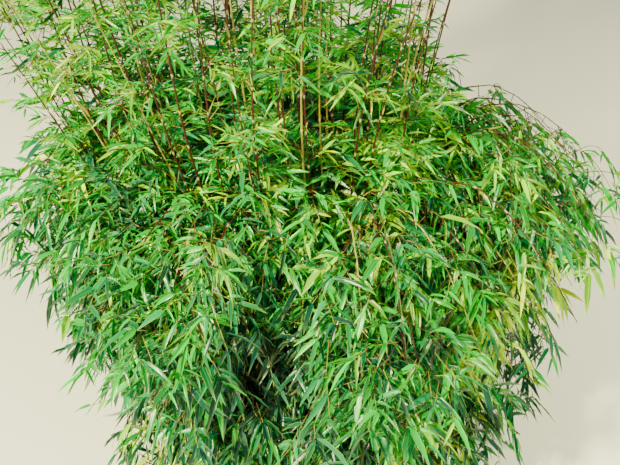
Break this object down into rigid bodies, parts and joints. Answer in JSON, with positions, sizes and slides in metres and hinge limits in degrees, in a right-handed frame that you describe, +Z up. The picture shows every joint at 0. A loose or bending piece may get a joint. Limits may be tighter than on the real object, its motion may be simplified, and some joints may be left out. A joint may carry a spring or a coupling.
{
  "type": "potted bamboo",
  "caption": "Fine-leaved clump of bamboo with slender upright canes and a drooping leafy skirt, growing in a plain round pot.",
  "frame": {"origin": "middle of the pot's flat underside, on the ground", "axes": "+Z up the plant, -Y towards the viewer of the front, +X to the viewer's right"},
  "size_m": [1.6526, 1.6004, 1.9748],
  "materials": {
    "pot": "matt dark grey-brown stoneware",
    "soil": "moist dark potting mix",
    "cane_red": "smooth purple-red cane",
    "cane_gold": "smooth straw-yellow cane",
    "cane_olive": "smooth olive-green cane",
    "leaf_deep": "satin deep green leaf",
    "leaf_mid": "satin mid green leaf",
    "leaf_bright": "satin bright green leaf",
    "leaf_light": "satin light green leaf",
    "leaf_yellow": "satin yellow-green leaf"
  },
  "bodies": {
    "root": {"pot": "pot", "soil": "soil", "cane_tall_1": "cane_red", "cane_tall_2": "cane_gold", "cane_tall_3": "cane_olive", "cane_tall_4": "cane_red", "cane_tall_5": "cane_red", "cane_tall_6": "cane_gold", "cane_tall_7": "cane_olive", "cane_tall_8": "cane_red", "cane_tall_9": "cane_red", "cane_tall_10": "cane_gold", "cane_tall_11": "cane_olive", "cane_tall_12": "cane_red", "cane_tall_13": "cane_red", "cane_arching_1": "cane_gold", "cane_arching_2": "cane_olive", "cane_arching_3": "cane_red", "cane_arching_4": "cane_red", "cane_arching_5": "cane_gold", "cane_arching_6": "cane_olive", "cane_arching_7": "cane_red", "cane_arching_8": "cane_red", "cane_arching_9": "cane_gold", "cane_arching_10": "cane_olive", "cane_arching_11": "cane_red", "cane_arching_12": "cane_red", "cane_arching_13": "cane_gold", "cane_arching_14": "cane_olive", "cane_arching_15": "cane_red", "cane_arching_16": "cane_red", "leaves_tall_1": "leaf_mid", "leaves_tall_2": "leaf_bright", "leaves_tall_3": "leaf_light", "leaves_tall_4": "leaf_deep", "leaves_tall_5": "leaf_yellow", "leaves_tall_6": "leaf_mid", "leaves_tall_7": "leaf_bright", "leaves_tall_8": "leaf_light", "leaves_tall_9": "leaf_deep", "leaves_tall_10": "leaf_yellow", "leaves_tall_11": "leaf_mid", "leaves_tall_12": "leaf_bright", "leaves_tall_13": "leaf_light", "leaves_arching_1": "leaf_deep", "leaves_arching_2": "leaf_yellow", "leaves_arching_3": "leaf_mid", "leaves_arching_4": "leaf_bright", "leaves_arching_5": "leaf_light", "leaves_arching_6": "leaf_deep", "leaves_arching_7": "leaf_yellow", "leaves_arching_8": "leaf_mid", "leaves_arching_9": "leaf_bright", "leaves_arching_10": "leaf_light", "leaves_arching_11": "leaf_deep", "leaves_arching_12": "leaf_yellow", "leaves_arching_13": "leaf_mid", "leaves_arching_14": "leaf_bright", "leaves_arching_15": "leaf_light", "leaves_arching_16": "leaf_deep"}
  },
  "joints": []
}
